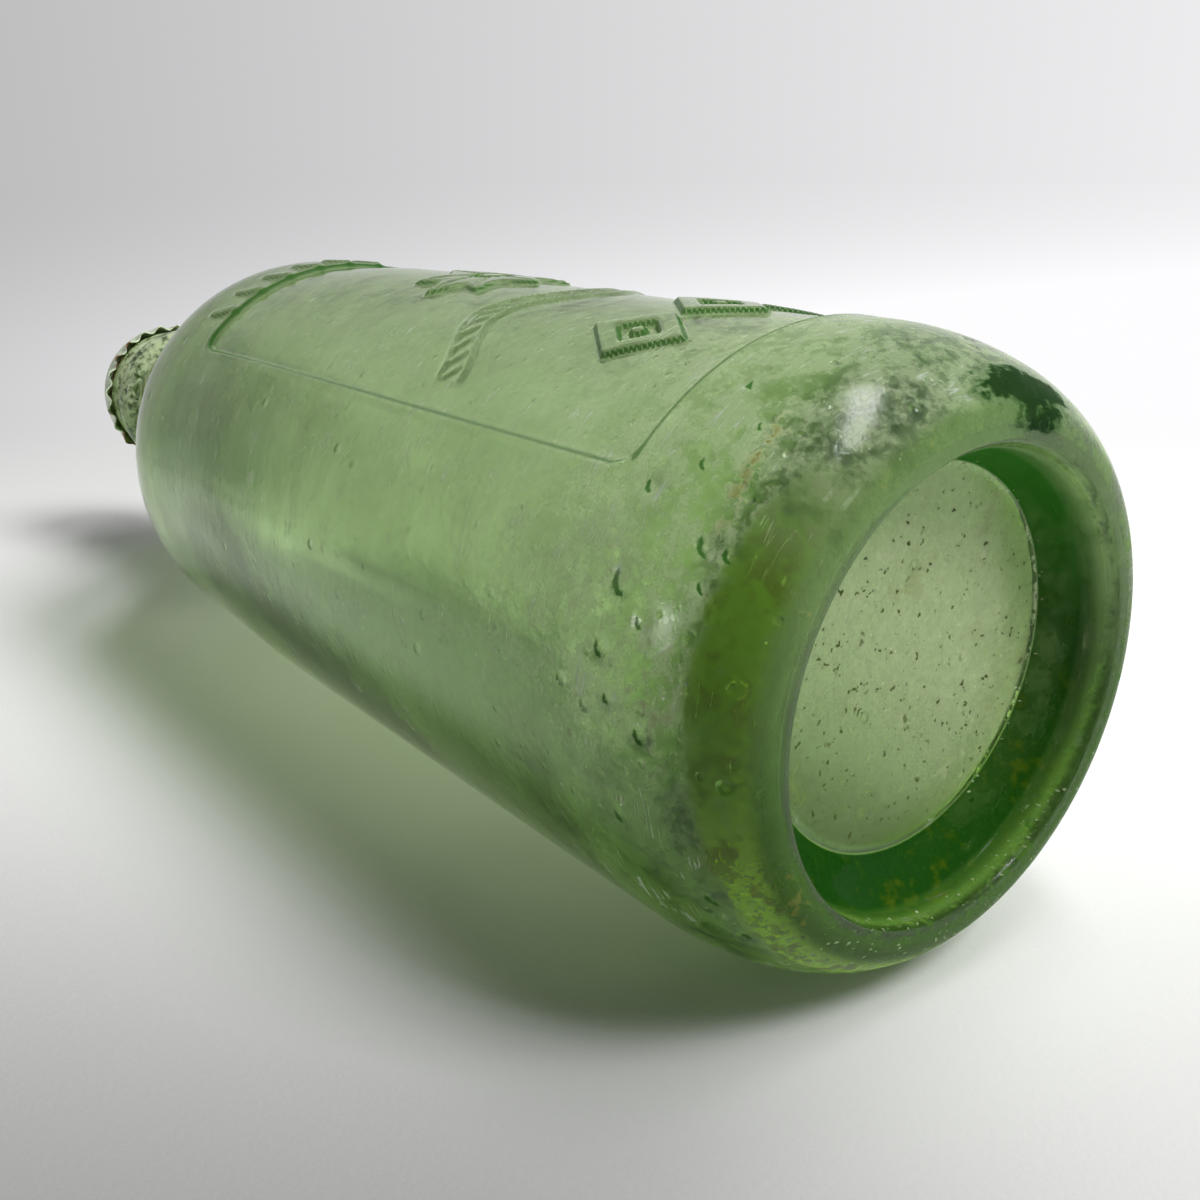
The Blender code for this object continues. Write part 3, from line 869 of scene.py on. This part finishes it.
def crustMaterial():
    place = newMaterial("paleLimeCrust")
    colour = place.cloud(*crust["tone"]).rise(0.40, 0.62).between(crust["pale"], crust["dark"])
    bump = bumped(place.cloud(*crust["grain"]) * crust["grainHeight"])
    return finishMaterial("paleLimeCrust", Surface=principled(bump, colour, 0.9))


def crustFlakes(material):
    flakes = applyTree(crustGround(material), flakeTree(material), crust["inputs"])
    for vertex in flakes.data.vertices:  # no flake stands past the standing ring's plane
        vertex.co.y = max(vertex.co.y, standY + crust["lift"])
    flakes.data.shade_smooth()
    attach(flakes, "bottle")
    print("crust:", len(flakes.data.polygons), "faces")


crustFlakes(crustMaterial())


# Crown seal: a turned sheet that a tree crimps into flutes, and the cork inside it

crown = {
    "top": 215.08 * mm, "height": 6.05 * mm, "topBend": 2.2 * mm, "radius": 13.8 * mm, "sheet": 0.30 * mm,
    "dimple": 0.12 * mm, "columns": 384,
    "inputs": {"Flutes": ("Int", 24), "Flute depth": ("Float", 0.98 * mm), "Flare": ("Float", 0.10 * mm),
               "Axis height": ("Float", axisHeight)},
    "lacquer": ((0.66, 0.78, 0.54, 1), (0.80, 0.90, 0.68, 1)), "bare": (0.55, 0.55, 0.50, 1),
    "rust": ((0.16, 0.09, 0.045, 1), (0.33, 0.19, 0.09, 1)),
}

cork = {
    "radius": 12.4 * mm, "seat": 212.3 * mm, "top": 214.48 * mm, "edge": 1.2 * mm, "dent": 0.12 * mm,
    "columns": 160, "grain": 620, "tones": ((0.46, 0.29, 0.16, 1), (0.62, 0.43, 0.26, 1)),
    "dark": (0.30, 0.17, 0.08, 1), "hole": (0.16, 0.09, 0.045, 1),
}


def turned(name, rows, count, material, skirt=None):  # rows of (radius, height); skirt: a mark for each row
    angles = np.linspace(0, 2 * math.pi, count, endpoint=False)
    points = [ringPoints(radius, height, angles) + (0, standY, axisHeight) for radius, height in rows]
    rings = [(row * count, angles) for row in range(len(rows))]
    marks = {} if skirt is None else {"skirt": [np.full(count, share) for share in skirt]}
    return closedMesh(name, points, rings, marks, material, -1)


def crimpTree(material):
    base, entry = newTree("crimpedSkirt", crown["inputs"])
    place = base.node("GeometryNodeInputPosition")
    across = base.node("ShaderNodeSeparateXYZ", {0: place})
    rising = base.node("ShaderNodeSeparateXYZ", {0: place}, 2) - entry["Axis height"]
    angle = base.maths("ARCTAN2", across, rising)
    share = base.node("GeometryNodeInputNamedAttribute", {"Name": "skirt"}, data_type="FLOAT")
    wave = (1 - base.maths("COSINE", angle * entry["Flutes"])) / 2
    push = share * (wave * entry["Flute depth"] + share * entry["Flare"])
    out = {0: push * base.maths("SINE", angle), 2: push * base.maths("COSINE", angle)}
    offset = base.node("ShaderNodeCombineXYZ", out)
    shape = base.node("GeometryNodeSetPosition", {"Geometry": entry["Geometry"], "Offset": offset})
    return endTree(base, shape, material)


def crownShell(material):
    c = crown
    sides = []
    for inset in (0, c["sheet"]):
        bend = c["topBend"] - inset
        flat = line((1 * mm, c["top"] - inset), (c["radius"] - c["topBend"] - 0.4 * mm, c["top"] - inset), 7)
        curve = arc((c["radius"] - c["topBend"], c["top"] - c["topBend"]), (bend, bend), 90, 0, 8)
        side = line(curve[-1], (c["radius"] - inset, c["top"] - c["height"]), 12)[1:]
        share = np.concatenate([np.zeros(len(flat) + len(curve)), np.linspace(1 / 12, 1, 12)])
        rows = np.concatenate([flat, curve, side])
        rows[:, 1] -= c["dimple"] * step(c["radius"] - c["topBend"], 2 * mm, rows[:, 0])
        sides.append((rows, share))
    edge = sides[0][0][-1] * 0.5 + sides[1][0][-1] * 0.5 - (0, 0.08 * mm)
    rows = np.concatenate([sides[0][0], edge[None], sides[1][0][::-1]])
    share = np.concatenate([sides[0][1], [1], sides[1][1][::-1]])
    shell = turned("crownShell", rows, c["columns"], material, share)
    return applyTree(shell, crimpTree(material), c["inputs"])


def lacquerMaterial():
    place = newMaterial("wornGreenLacquer")
    blotches = place.cloud(260, 5, 0.62)
    fine = place.cloud(1500, 4, 0.6)
    edges = attribute(place, "skirt")
    rust = (blotches + edges * 0.10).rise(0.60, 0.68)
    bare = (fine * 0.5 + blotches * 0.5 + edges * 0.05).rise(0.575, 0.605) * (1 - rust)
    green = blotches.rise(0.3, 0.7).between(*crown["lacquer"])
    brown = fine.rise(0.3, 0.7).between(*crown["rust"])
    colour = rust.between(bare.between(green, crown["bare"]), brown)
    bump = bumped(blotches * 0.05 + fine * (0.02 + rust * 0.08) - bare * 0.03, 0.8)
    more = {"Metallic": bare * 0.8, "Coat Weight": (1 - rust) * 0.3}
    surface = principled(bump, colour, 0.36 + fine * 0.2 + rust * 0.35, more)
    return finishMaterial("wornGreenLacquer", Surface=surface)


def corkMaterial():
    place = newMaterial("cutCork")
    grains = place.cells(cork["grain"])
    tone = place.cells(cork["grain"], "Color").rise(0.1, 0.9)
    fine = place.cloud(1400, 4, 0.65)
    holes = place.cloud(420, 3, 0.6).rise(0.60, 0.66)
    darker = grains.rise(0.35, 0.6) * 0.55 + fine.rise(0.55, 0.75) * 0.3
    colour = holes.between(darker.between(tone.between(*cork["tones"]), cork["dark"]), cork["hole"])
    bump = bumped(fine * 0.10 - grains.rise(0.3, 0.6) * 0.08 - holes * 0.30, 0.8)
    return finishMaterial("cutCork", Surface=principled(bump, colour, 0.88))


def corkDisc(material):
    c = cork
    flat = line((1 * mm, c["top"]), (c["radius"] - c["edge"] - 0.3 * mm, c["top"]), 10)
    bend = arc((c["radius"] - c["edge"], c["top"] - c["edge"]), (c["edge"],) * 2, 90, 0, 8)
    foot = arc((c["radius"] - 0.25 * mm, c["seat"] + 0.25 * mm), (0.25 * mm,) * 2, 0, -90, 4)
    under = line(foot[-1], (1 * mm, c["seat"]), 26)[1:]
    pressed = step(glass["boreRadius"] + 0.2 * mm, glass["boreRadius"] + 1.0 * mm, under[:, 0])
    under[:, 1] += pressed * step(c["radius"] - 0.2 * mm, c["radius"] - 1.4 * mm, under[:, 0]) * c["dent"]
    return turned("corkLiner", np.concatenate([flat, bend, foot, under]), c["columns"], material)


crownPiece = crownShell(lacquerMaterial())
corkPiece = corkDisc(corkMaterial())
for piece, node, slot in ((crownPiece, "crown_cap", "green_lacquer"), (corkPiece, "cork_disc", "cork")):
    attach(piece, "crown_seal")
    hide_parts(node)
print("crown seal:", len(crownPiece.data.polygons), "faces, cork:", len(corkPiece.data.polygons), "faces")


# Stage: pale floor with painted shade that runs into the sky's colour, a sky brighter to the right, and four
# lamps

studio = {
    "floorRadius": 6.0, "nearFloor": 0.17, "farFloor": 0.34,
    "skyMiddle": 0.69, "skySlope": 0.41, "skyLeast": 0.30, "skyStrength": 0.37,
    "skyTint": (0.985, 0.985, 1.0), "sideReach": (0.018, 0.085), "nearReach": (-0.148, 0.002),
    "farthest": 0.252,
    "farLift": 0.66, "farReach": 0.45,  # the far floor is lighter than the wall behind it
    "brightWay": (0.796, -0.605, 0.0), "nearWay": (0.6055, 0.7958, 0.0),
    # leftTones and rightTones: painted shade on the paper, darker to the left and towards the front
    "paper": (1.0, 1.0, 0.985), "leftTones": (0.28, 0.60, 0.07), "rightTones": (0.58, 0.41),
    "behind": 0.22, "behindReach": (0.0, -0.75),  # how light the room's dark side is, except as a backdrop
    "ceiling": 0.2, "ceilingReach": (0.12, 0.35), "grain": (1300, 3, 0.6), "grainHeight": 0.06,
}


lamps = {  # turn: straight down, turned about the upright; seen: shows in the glass
    "window": {"size": (0.11, 0.36), "place": (0.08, -0.15, 0.60), "turn": -33.5, "power": 1.2, "seen": True},
    "high": {"size": (0.15, 0.18), "place": (0.23, -0.25, 0.58), "turn": 0.0, "power": 0.35, "seen": False},
    "side": {"size": (0.36, 0.36), "place": (0.28, -0.66, 0.84), "aim": (-0.01, -0.06, 0.03), "power": 9.2,
             "seen": False},
    "left": {"size": (0.10, 0.16), "place": (-0.77, 0.15, 0.21), "aim": (-0.03, -0.10, 0.04), "power": 0.5,
             "seen": True},
}


def skyColour(way, lift=1.0):  # way: a direction of length 1
    s = studio
    tone = (way.along(s["brightWay"]) * s["skySlope"] + s["skyMiddle"]).most(s["skyLeast"])
    shown = way.node("ShaderNodeLightPath", output="Is Camera Ray")
    behind = way.along(s["nearWay"]).rise(*s["behindReach"]) * (1 - s["behind"]) * (1 - shown)
    ceiling = way.along((0, 0, 1)).rise(*s["ceilingReach"]) * s["ceiling"]
    tone = (tone * lift * (1 - behind)).least(1.0) * (1 - ceiling)
    return tone.between((0, 0, 0, 1), (*s["skyTint"], 1))


def paperColour(place):  # painted shade: dimmer away from the bright side and in front
    s = studio
    bright = place.along(s["brightWay"]).rise(*s["sideReach"])
    depth = place.along(s["nearWay"])
    near, far = depth.rise(*s["nearReach"]), depth.rise(s["nearReach"][1], s["farthest"])
    left = near * s["leftTones"][1] + far * s["leftTones"][2] + s["leftTones"][0]
    right = near * s["rightTones"][1] + s["rightTones"][0]
    return (left + bright * (right - left)).between((0, 0, 0, 1), (*s["paper"], 1))


def stageFloor():
    place = newMaterial("palePaper")
    grain = place.cloud(*studio["grain"]) * studio["grainHeight"]
    paper = principled(bumped(grain), paperColour(place), 0.9)
    way = place.vector("NORMALIZE", {})
    away = place.vector("LENGTH", {}, "Value")
    reach = away / studio["farReach"]
    lift = studio["farLift"] / (reach * reach + 1) + 1
    haze = place.node("ShaderNodeEmission", {"Color": skyColour(way, lift), "Strength": 1.0})
    surface = away.rise(studio["nearFloor"], studio["farFloor"]).shaders(paper, haze)
    material = finishMaterial("palePaper", Surface=surface)
    angles = np.radians(np.arange(0, 360, 5))
    edge = [(studio["floorRadius"] * math.cos(a), studio["floorRadius"] * math.sin(a), 0) for a in angles]
    floor = meshObject("paleFloor", edge, [tuple(range(len(edge)))], material)


def stageSky():
    world = bpy.data.worlds.new("paleStudio")
    world.use_nodes = True
    world.node_tree.nodes.clear()
    base = Wire(world.node_tree)
    colour = skyColour(base.node("ShaderNodeTexCoord", output="Generated"))
    sky = base.node("ShaderNodeBackground", {"Color": colour, "Strength": studio["skyStrength"]})
    shown = base.node("ShaderNodeBackground", {"Color": colour, "Strength": 1.0})
    rays = base.node("ShaderNodeLightPath", output="Is Camera Ray")
    for kind in ("Is Transmission Ray", "Is Glossy Ray"):
        rays = rays.most(base.node("ShaderNodeLightPath", output=kind))
    out = world.node_tree.nodes.new("ShaderNodeOutputWorld")
    world.node_tree.links.new(rays.shaders(sky, shown).socket, out.inputs["Surface"])
    bpy.context.scene.world = world


def stageLamp(name, sizes):
    lamp = bpy.data.lights.new(name, "AREA")
    lamp.shape = "RECTANGLE"
    lamp.size, lamp.size_y = sizes["size"]
    lamp.energy = sizes["power"]
    thing = bpy.data.objects.new(name, lamp)
    thing.location = sizes["place"]
    thing.visible_glossy = thing.visible_transmission = sizes["seen"]
    if "turn" in sizes:
        thing.rotation_euler = (0, 0, math.radians(sizes["turn"]))
    else:
        aim = Vector(sizes["aim"]) - thing.location
        thing.rotation_euler = aim.to_track_quat("-Z", "Y").to_euler()
    bpy.context.scene.collection.objects.link(thing)


camera = {
    "place": (-0.095865, standY - 0.068240, axisHeight + 0.047298),
    "heading": 37.26, "pitch": -18.66, "lens": 38.777,
}


def addCamera():
    data = bpy.data.cameras.new("camera")
    data.lens = camera["lens"]
    data.sensor_width = 36
    data.clip_start = 0.005
    thing = bpy.data.objects.new("camera", data)
    thing.location = camera["place"]
    thing.rotation_euler = Euler((math.radians(90 + camera["pitch"]), 0, -math.radians(camera["heading"])))
    bpy.context.scene.collection.objects.link(thing)
    bpy.context.scene.camera = thing


stageFloor()
stageSky()
for lampName, lampSizes in lamps.items():
    stageLamp(lampName, lampSizes)
addCamera()
bpy.context.scene.view_settings.view_transform = "Standard"
print("stage: floor, sky, window and camera")
